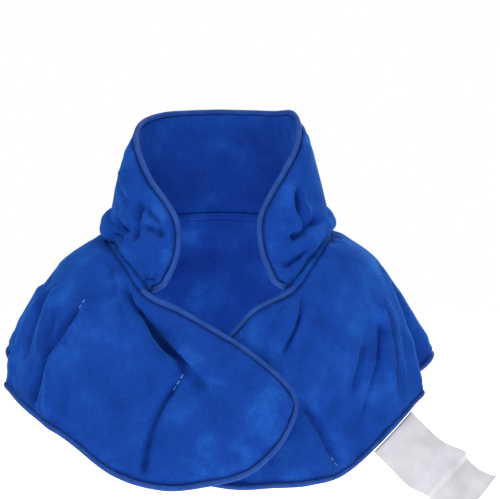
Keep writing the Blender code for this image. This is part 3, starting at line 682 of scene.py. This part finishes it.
def rim(outer, inner, inside, bulge):
    """Rows of points round an edge, from the outer wall to the inner one."""
    centre = (outer + inner) / 2
    out = unit(centre - inside) * bulge
    rows = []
    for angle in RIM_ANGLES:
        turn = math.radians(angle)
        rows.append(centre + (outer - centre) * math.cos(turn) + out * math.sin(turn))
    return np.stack(rows, axis=1)


def shell_rings(outer, inner, near_bulge, far_bulge):
    """Rings round a padded shell: down its outer wall, round the far edge, up and round again."""
    middle = (outer[:, 2] + inner[:, 2]) / 2
    near = rim(inner[:, 0], outer[:, 0], middle, near_bulge)
    middle = (outer[:, -3] + inner[:, -2]) / 2
    far = rim(outer[:, -1], inner[:, -1], middle, far_bulge)
    return np.concatenate([outer, far, inner[:, ::-1], near], axis=1)


def shell_values(outer, inner):
    """The outer wall's values and 0 inside, laid out as shell_rings lays the points, ends last."""
    far, near = (np.repeat(outer[:, [side]], len(RIM_ANGLES), axis=1) for side in (-1, 0))
    rings = np.concatenate([outer, far, 0 * inner[:, ::-1], near], axis=1)
    return np.concatenate([rings.reshape(-1), [0, 0]])


def tube_rings(path, radii, sides):
    """Rings of points round a path, turned as little as possible from one to the next."""
    along = unit(np.gradient(path, axis=0))
    side = Vector(unit(np.cross(along[0], SLANT)))
    rings = []
    angles = np.linspace(0, 2 * math.pi, sides, endpoint=False)
    for point, tangent, radius in zip(path, along, radii):
        tangent = Vector(tangent)
        side = (side - tangent * side.dot(tangent)).normalized()
        other = tangent.cross(side)
        ring = np.outer(np.cos(angles), side) + np.outer(np.sin(angles), other)
        rings.append(point + ring * radius)
    return np.array(rings)


# Materials


class Shader:
    """A Principled material and short ways to add nodes to it."""

    def __init__(self, name, color, roughness):
        self.material = bpy.data.materials.new(name)
        self.material.use_nodes = True
        self.nodes = self.material.node_tree.nodes
        self.links = self.material.node_tree.links
        self.principled = self.nodes["Principled BSDF"]
        self.place = self.nodes.new("ShaderNodeTexCoord").outputs["Object"]
        self.bump = None
        self.set("Base Color", (*color, 1))
        self.set("Roughness", roughness)

    def set(self, socket, value):
        """Sets a constant on the shader's own socket."""
        self.principled.inputs[socket].default_value = value

    def noise(self, size, detail, distortion=0.0):
        """Noise with bumps about one size apart."""
        node = self.nodes.new("ShaderNodeTexNoise")
        node.inputs["Scale"].default_value = 1 / size
        node.inputs["Detail"].default_value = detail
        node.inputs["Distortion"].default_value = distortion
        self.links.new(self.place, node.inputs["Vector"])
        return node.outputs["Fac"]

    def ramp(self, value, *stops):
        """A colour for each value, through stops of position and colour."""
        node = self.nodes.new("ShaderNodeValToRGB")
        node.color_ramp.interpolation = "EASE"
        elements = node.color_ramp.elements
        while len(elements) < len(stops):
            elements.new(0.5)
        for element, (position, color) in zip(elements, stops):
            element.position = position
            element.color = (*color, 1)
        self.links.new(value, node.inputs["Fac"])
        return node.outputs["Color"]

    def remap(self, value, low, high):
        """A value's range from low to high, as 0 to 1."""
        node = self.nodes.new("ShaderNodeMapRange")
        node.inputs["From Min"].default_value = low
        node.inputs["From Max"].default_value = high
        self.links.new(value, node.inputs["Value"])
        return node.outputs["Result"]

    def mix(self, kind, share, a, b):
        """Two colours mixed, where share is a number or a value's output."""
        node = self.nodes.new("ShaderNodeMix")
        node.data_type = "RGBA"
        node.blend_type = kind
        if isinstance(share, (int, float)):
            node.inputs[0].default_value = share
        else:
            self.links.new(share, node.inputs[0])
        self.links.new(a, node.inputs[6])
        self.links.new(b, node.inputs[7])
        return node.outputs[2]

    def color(self, output):
        """Gives the base colour a pattern."""
        self.links.new(output, self.principled.inputs["Base Color"])

    def raise_by(self, height, distance, strength):
        """Adds bump on top of the bump so far."""
        node = self.nodes.new("ShaderNodeBump")
        node.inputs["Distance"].default_value = distance
        node.inputs["Strength"].default_value = strength
        self.links.new(height, node.inputs["Height"])
        if self.bump:
            self.links.new(self.bump, node.inputs["Normal"])
        self.bump = node.outputs["Normal"]
        self.links.new(self.bump, self.principled.inputs["Normal"])


def plush_material():
    """Short royal blue pile, brushed into soft patches, with painted shade in creases, gather hollows and
    along edges and painted highlight on crease lips and gather ridges.
    """
    plush = Shader("plush", (0.008, 0.058, 0.37), 0.9)
    plush.set("Specular IOR Level", 0.05)
    plush.set("Sheen Weight", 0.55)
    plush.set("Sheen Roughness", 0.38)
    plush.set("Sheen Tint", (0.05, 0.32, 0.85, 1))
    patches = plush.noise(0.034, detail=3.5, distortion=0.15)
    tone = plush.ramp(
        patches,
        (0.28, (0.0060, 0.044, 0.290)),
        (0.50, (0.0080, 0.058, 0.365)),
        (0.74, (0.0140, 0.102, 0.500)),
    )
    clumps = plush.noise(0.0026, detail=3.0)
    grain = plush.ramp(clumps, (0.25, (0.88, 0.88, 0.90)), (0.75, (1.10, 1.10, 1.08)))
    tone = plush.mix("MULTIPLY", 1.0, tone, grain)
    # Painted shade darkens the pile in creases, gather hollows and along the edges, and painted highlight
    # lightens crease lips and gather ridges.
    painted_shading = plush.nodes.new("ShaderNodeAttribute")
    painted_shading.attribute_name = "painted_shading"
    depth = plush.ramp(
        plush.remap(painted_shading.outputs["Fac"], *PAINTED_SHADING_RANGE),
        (0.0, (1.45, 1.35, 1.22)),
        (0.333, (1.0, 1.0, 1.0)),
        (1.0, (0.34, 0.32, 0.40)),
    )
    plush.color(plush.mix("MULTIPLY", 1.0, tone, depth))
    plush.raise_by(clumps, 0.0014, 0.35)
    plush.raise_by(plush.noise(0.0008, detail=2.0), 0.0006, 0.55)
    return plush.material


def satin_material():
    """Slate blue satin binding with a fine slanted rib."""
    satin = Shader("satin_piping", (0.022, 0.075, 0.31), 0.6)
    satin.set("Specular IOR Level", 0.12)
    satin.set("Sheen Weight", 0.05)
    satin.set("Sheen Roughness", 0.4)
    satin.set("Sheen Tint", (0.3, 0.5, 1.0, 1))
    tone = satin.ramp(
        satin.noise(0.012, detail=3.0),
        (0.30, (0.014, 0.060, 0.290)),
        (0.70, (0.021, 0.084, 0.370)),
    )
    satin.color(tone)
    satin.raise_by(satin.noise(0.0045, detail=2.0), 0.0012, 0.5)
    satin.raise_by(satin.noise(0.0007, detail=1.0), 0.0003, 0.5)
    return satin.material


def label_material():
    """White satin ribbon."""
    label = Shader("label_satin", (0.80, 0.79, 0.82), 0.42)
    label.set("Specular IOR Level", 0.5)
    label.set("Sheen Weight", 0.2)
    tone = label.ramp(
        label.noise(0.02, detail=3.0),
        (0.30, (0.64, 0.62, 0.67)),
        (0.70, (0.75, 0.73, 0.77)),
    )
    label.color(tone)
    label.raise_by(label.noise(0.014, detail=3.0), 0.002, 0.4)
    label.raise_by(label.noise(0.0006, detail=1.0), 0.0002, 0.4)
    return label.material


def thread_material():
    """Pale blue sewing thread with a fine twist."""
    thread = Shader("thread", (0.20, 0.42, 0.80), 0.6)
    twist = thread.noise(0.0006, detail=1.0)
    thread.color(thread.ramp(twist, (0.3, (0.14, 0.34, 0.70)), (0.7, (0.30, 0.52, 0.88))))
    thread.raise_by(twist, 0.0002, 0.5)
    return thread.material


def closure_material():
    """Navy hook and loop tape."""
    tape = Shader("closure", (0.006, 0.02, 0.12), 0.95)
    loops = tape.noise(0.0011, detail=2.0)
    tape.color(tape.ramp(loops, (0.3, (0.003, 0.012, 0.08)), (0.7, (0.010, 0.035, 0.18))))
    tape.raise_by(loops, 0.0009, 0.9)
    return tape.material


# Pieces


def folded_edge(points, share):
    """One long edge of a folded grid, and points a little inside it."""
    reach = max(1, round(RIM_SHARE * (points.shape[1] - 1)))
    return (points[:, 0], points[:, reach]) if share == 0 else (points[:, -1], points[:, -1 - reach])


def walls(grid, points, thickness, creases, quilting, seed):
    """A padded surface's outer and inner walls with their relief, and the painted shade and highlight for
    the plush's colour.
    """
    normals = grid_normals(points)
    travel = edge_travel(points)
    calm = smooth(travel / EDGE_CALM)[..., None]
    quilted = grid.relief(quilting)
    fine = grid.relief(creases) + quilted
    swells = [wrinkle_noise(grid.base, size, seed + k) * height for k, (size, height) in enumerate(SWELLS)]
    broad = sum(swells)
    streaks = 1 - 2 * np.abs(wrinkle_noise(grid.base * CRUMPLE_STRETCH, CRUMPLE_SIZE, seed + 2))
    patches = wrinkle_noise(grid.base, CRUMPLE_PATCH, seed + 3)
    crumple = np.clip(np.clip(streaks, 0, 1) ** CRUMPLE_SHARPNESS * patches, 0, 1)
    by_edge = np.exp(-travel / GATHER_REACH) * smooth(travel / GATHER_START)
    by_quilting = QUILTING_GATHER * np.clip(-QUILTING_REACH * quilted, 0, 1)
    pucker = wrinkle_noise(grid.base, GATHER_SPACING, seed + 4) * np.maximum(by_edge, by_quilting)
    relief = (fine + broad - CRUMPLE_DEPTH * crumple)[..., None] * calm * grid.thickness
    relief = relief + pucker[..., None] * GATHER_HEIGHT
    relief = np.maximum(relief, LEAST_WALL - thickness[..., None])
    outer = points + normals * (thickness[..., None] / 2 + relief)
    inner_relief = (broad * INNER_SWELL + pucker * INNER_GATHER)[..., None] * calm * grid.thickness
    inner = points - normals * (thickness[..., None] / 2 + inner_relief)
    # Painted shade: darker in creases, in gather hollows and along the edges; painted highlight where the
    # value falls below 0, on crease lips and gather ridges.
    painted_shading = np.clip(-fine * PAINTED_SHADING_BY_CREASE, *PAINTED_SHADING_RANGE) * calm[..., 0]
    painted_shading = painted_shading - pucker * PAINTED_SHADING_BY_GATHER
    painted_shading = np.maximum(painted_shading, PAINTED_SHADE_AT_EDGE * np.exp(-travel / PAINTED_SHADE_EDGE_WIDTH))
    return outer, inner, painted_shading


def build_cape(material):
    """The cape that lies on the shoulders, its two flaps crossing in front."""
    fine = np.linspace(0, LAST_SECTION, CAPE_SAMPLES)
    coarse = Grid(cape_base, fine, np.array(EDGE_SHARES), PAD_THICKNESS)
    hem = padded_grid(coarse, CAPE_FOLDS, CAPE_SEAMS)[0][:, -1]
    places = evenly(fine, hem, CAPE_COLUMNS)
    shares = np.linspace(0, 1, DROP_SAMPLES)
    drops = evenly(shares, cape_base(0 * shares + EVEN_SECTION, shares), CAPE_DROPS)
    grid = Grid(cape_base, places, drops, PAD_THICKNESS)
    points, thickness = padded_grid(grid, CAPE_FOLDS, CAPE_SEAMS)
    outer, inner, painted_shading = walls(grid, points, thickness, CAPE_CREASES, CAPE_QUILTING, CAPE_SEED)
    inner = inner[:, ::2]
    rings = shell_rings(outer, inner, EDGE_BULGE, EDGE_BULGE)
    painted_shading = shell_values(painted_shading, painted_shading[:, ::2])
    piece("plush_cape", *closed_rings(rings), "plush", material, ["shoulder_cape"], painted_shading)
    return grid, points, outer


def build_collar(material):
    """The stand-up collar."""
    fine = np.linspace(0, LAST_COLLAR, COLLAR_SAMPLES)
    coarse = Grid(collar_base, fine, np.array(EDGE_SHARES), COLLAR_THICKNESS)
    edge = padded_grid(coarse, COLLAR_FOLDS, COLLAR_SEAMS)[0][:, -1]
    places = evenly(fine, edge, COLLAR_COLUMNS)
    rises = np.linspace(0, 1, COLLAR_RISES + 1) ** ROLL_SPACING
    grid = Grid(collar_base, places, rises, COLLAR_THICKNESS)
    points, thickness = padded_grid(grid, COLLAR_FOLDS, COLLAR_SEAMS)
    thickness = thickness + grid_of(collar_roll, places, rises)
    outer, inner, painted_shading = walls(grid, points, thickness, COLLAR_CREASES, COLLAR_QUILTING, COLLAR_SEED)
    rings = shell_rings(outer, inner, FOOT_BULGE, EDGE_BULGE)
    painted_shading = shell_values(painted_shading, painted_shading)
    piece("plush_collar", *closed_rings(rings), "plush", material, ["stand_collar"], painted_shading)
    return grid, points


def build_tube(name, path, diameter, slot, material, replaced):
    """A sewn cord along a path, a little uneven in thickness and rounded at its ends."""
    uneven = wrinkle_noise(path, CORD_BUMP, CORD_SEEDS[name])
    travel = travel_along(path)
    from_end = np.minimum(travel, travel[-1] - travel)
    rounded = np.sqrt(np.clip(from_end / diameter, CORD_END, 1))
    radii = diameter / 2 * (1 + CORD_UNEVENNESS * uneven) * rounded
    rings = tube_rings(path, radii, CORD_SIDES)
    piece(name, *closed_rings(rings), slot, material, [replaced])


def trimmed(places, path, ends):
    """The part of a path, drawn at these places, that runs from one end place to the other."""
    inner = places[(places > ends[0]) & (places < ends[1])]
    return points_at(np.concatenate([[ends[0]], inner, [ends[1]]]), places, path)


def rim_lines(places, points, share, last):
    """One long edge of a folded grid, and points inside it to offset it from."""
    edge, inside = folded_edge(points, share)
    held = np.clip(places, RIM_INSET, last - RIM_INSET)
    return edge, points_at(held, places, inside)


def stitch_path(grid, outer, crease, share):
    """A short stitch's path on the outer wall, at a share of the way along a quilting line."""
    route, line = fold_line(cape_base, crease)
    travel = travel_along(line)
    along = share * travel[-1] + np.linspace(-0.5, 0.5, STITCH_POINTS) * STITCH_LENGTH
    sections = np.interp(along, travel, route[:, 0])
    drops = np.interp(along, travel, route[:, 1])
    rows = np.interp(sections, grid.places, np.arange(len(grid.places)))
    columns = np.interp(drops, grid.shares, np.arange(len(grid.shares)))
    low, left = np.floor(rows).astype(int), np.floor(columns).astype(int)
    down, right = (rows - low)[:, None], (columns - left)[:, None]
    upper = outer[low, left] * (1 - right) + outer[low, left + 1] * right
    lower = outer[low + 1, left] * (1 - right) + outer[low + 1, left + 1] * right
    return upper * (1 - down) + lower * down + grid.normals[low, left] * THREAD_DIAMETER * THREAD_RISE


def build_stitches(grid, outer, material):
    """The pale thread that shows in the quilting seams, as short stitches."""
    vertices, faces, count = [], [], 0
    lines = {crease.name: crease for crease in CAPE_QUILTING}
    for name, first, last in STITCHES:
        crease = lines[name]
        line = fold_line(cape_base, crease)[1]
        length = np.linalg.norm(np.diff(line, axis=0), axis=1).sum()
        for share in np.arange(first, last, STITCH_SPACING / length):
            path = stitch_path(grid, outer, crease, share)
            rings = tube_rings(path, np.full(len(path), THREAD_DIAMETER / 2), THREAD_SIDES)
            points, sides = closed_rings(rings)
            vertices.append(points)
            faces += [tuple(count + corner for corner in face) for face in sides]
            count += len(points)
    piece("quilting_stitches", np.concatenate(vertices), faces, "satin_piping", material)


def build_cape_piping(grid, points, material):
    """The satin piping from the right collar tip round the flaps and the hem to the left tip."""
    places = grid.places
    neck = rim_lines(places, points, 0, LAST_SECTION)
    hem = rim_lines(places, points, 1, LAST_SECTION)
    edge, inside = (np.concatenate([n[:0:-1], h, n[-2::-1]]) for n, h in zip(neck, hem))
    travel = np.concatenate([-places[:0:-1], places, 2 * LAST_SECTION - places[-2::-1]])
    path = rim_offset(edge, inside, SEEN_PIPING_DIAMETER / 2 + SEAM_GAP)
    ends = (-NECK_PIPING_ENDS[0], 2 * LAST_SECTION - NECK_PIPING_ENDS[1])
    path = trimmed(travel, path, ends)
    build_tube("satin_cape_piping", path, SEEN_PIPING_DIAMETER, "satin_piping", material, "cape_piping")


def build_collar_piping(grid, points, material):
    """The satin piping along the collar's rim."""
    rim_line = rim_lines(grid.places, points, 1, LAST_COLLAR)
    path = rim_offset(*rim_line, SEEN_PIPING_DIAMETER / 2 + SEAM_GAP)
    path = trimmed(grid.places, path, COLLAR_PIPING_ENDS)
    build_tube(
        "satin_collar_piping", path, SEEN_PIPING_DIAMETER, "satin_piping", material, "collar_piping"
    )


def build_seam_band(grid, material):
    """The padded band in the neck seam, between the cape and the collar."""
    path = trimmed(grid.places, seam_centre(grid.places), BAND_ENDS)
    build_tube("plush_seam_band", path, SEAM_BAND_DIAMETER, "plush", material, "neck_seam_band")


def sheet_rings(points, thickness):
    """Rings round an even sheet about a grid of middle points, with slightly round edges."""
    half = grid_normals(points) * thickness / 2
    bulge = thickness / 3
    return shell_rings(points + half, points - half, bulge, bulge)


def build_closure(material):
    """The closure patch hidden between the flaps, on the outside of the under flap."""
    places = np.linspace(*CLOSURE_SECTIONS, CLOSURE_POINTS)
    drops = np.linspace(*CLOSURE_DROPS, CLOSURE_POINTS)
    grid = Grid(cape_base, places, drops, PAD_THICKNESS)
    points = padded_grid(grid, CAPE_FOLDS, CAPE_SEAMS)[0]
    raised = PAD_THICKNESS / 2 + FLAP_GAP + CLOSURE_THICKNESS / 2
    rings = sheet_rings(points + grid_normals(points) * raised, CLOSURE_THICKNESS)
    piece("closure_patch", *closed_rings(rings), "closure", material, ["front_closure"])


def build_label(grid, points, material):
    """The blank care label, sewn to the hem over the wearer's left arm."""
    near = np.abs(grid.places - LABEL_SECTION) < 1
    edge, inside = folded_edge(points, 1)
    fine = grid.places[near]
    offset = PIPING_DIAMETER + 2 * SEAM_GAP + LABEL_THICKNESS / 2
    line = rim_offset(edge[near], inside[near], offset)
    travel = travel_along(line)
    middle = np.interp(LABEL_SECTION, fine, travel)
    across = np.linspace(-LABEL_WIDTH / 2, LABEL_WIDTH / 2, LABEL_COLUMNS)
    sewn = points_at(middle + across, travel, line)
    side = unit(sewn[0] - sewn[-1])
    fall = math.radians(LABEL_FALL)
    out = square_to(polar(LABEL_AZIMUTH, math.cos(fall), -math.sin(fall)), side)
    front = np.cross(side, out)
    rows = catmull_rom(LABEL_SECTIONS, np.linspace(0, len(LABEL_SECTIONS) - 1, LABEL_ROWS))
    cloth = np.array([
        sewn + (out * row[0] + side * row[1] + front * row[2]) * LABEL_LENGTH
        + np.outer(across, front) * row[3]
        for row in rows
    ])
    rings = sheet_rings(cloth, LABEL_THICKNESS)
    label = piece("satin_label", *closed_rings(rings), "label_satin", material, ["care_label"])


# Stage, light and camera

SURROUND_LIGHT = 0.13
FLOOR_LIGHT = 0.95
FLOOR_RADIUS = 8
FLOOR_SIDES = 96
FLOOR_HEIGHT = -0.32
LIT_POINT = (0, 0, -0.05)
CAMERA_PLACE = (0.02745, -1.5, 0.0)
SENSOR_WIDTH = 36
LENS = 120

Light = namedtuple("Light", "name place size power")
LIGHTS = table(Light, (
    ("key", (-0.9, -1.3, 1.9), 0.8, 28),
    ("fill", (1.6, -1.2, 0.9), 1.2, 8.5),
    ("top", (0.3, 0.3, 1.8), 1.2, 13),
    ("back", (0.9, 1.7, 0.9), 0.9, 14),
))


def build_stage():
    """A plain pale floor under a white surround."""
    bpy.ops.mesh.primitive_circle_add(
        vertices=FLOOR_SIDES, radius=FLOOR_RADIUS, fill_type="NGON", location=(0, 0, FLOOR_HEIGHT)
    )
    floor = bpy.context.object
    floor.name = "floor"
    shader = Shader("pale_floor", (0.93, 0.93, 0.93), 0.9)
    shader.set("Emission Color", (1, 1, 1, 1))
    shader.set("Emission Strength", FLOOR_LIGHT)
    floor.data.materials.append(shader.material)
    world = bpy.data.worlds.new("surround")
    world.use_nodes = True
    bpy.context.scene.world = world
    nodes, links = world.node_tree.nodes, world.node_tree.links
    surround = nodes["Background"]
    surround.inputs["Color"].default_value = (1, 1, 1, 1)
    surround.inputs["Strength"].default_value = SURROUND_LIGHT
    seen = nodes.new("ShaderNodeBackground")
    seen.inputs["Color"].default_value = (1, 1, 1, 1)
    mix = nodes.new("ShaderNodeMixShader")
    links.new(nodes.new("ShaderNodeLightPath").outputs["Is Camera Ray"], mix.inputs[0])
    links.new(surround.outputs["Background"], mix.inputs[1])
    links.new(seen.outputs["Background"], mix.inputs[2])
    links.new(mix.outputs["Shader"], nodes["World Output"].inputs["Surface"])


def area_light(name, place, size, power):
    """A soft square light that faces the pad."""
    data = bpy.data.lights.new(name, "AREA")
    data.size = size
    data.energy = power
    light = bpy.data.objects.new(name, data)
    light.location = place
    light.rotation_euler = (Vector(LIT_POINT) - Vector(place)).to_track_quat("-Z", "Y").to_euler()
    bpy.context.scene.collection.objects.link(light)


def build_light_and_camera():
    """Soft light from the front, above and behind, and the photograph's camera."""
    for light in LIGHTS:
        area_light(*light)
    camera = bpy.data.objects.new("camera", bpy.data.cameras.new("camera"))
    camera.location = CAMERA_PLACE
    camera.rotation_euler = (math.pi / 2, 0, 0)
    camera.data.sensor_width = SENSOR_WIDTH
    camera.data.lens = LENS
    bpy.context.scene.collection.objects.link(camera)
    bpy.context.scene.camera = camera
    bpy.context.scene.view_settings.view_transform = "Standard"


plush = plush_material()
satin = satin_material()
cape, cape_points, cape_outer = build_cape(plush)
collar, collar_points = build_collar(plush)
build_seam_band(cape, plush)
build_cape_piping(cape, cape_points, satin)
build_collar_piping(collar, collar_points, satin)
build_closure(closure_material())
build_label(cape, cape_points, label_material())
build_stitches(cape, cape_outer, thread_material())
build_stage()
build_light_and_camera()
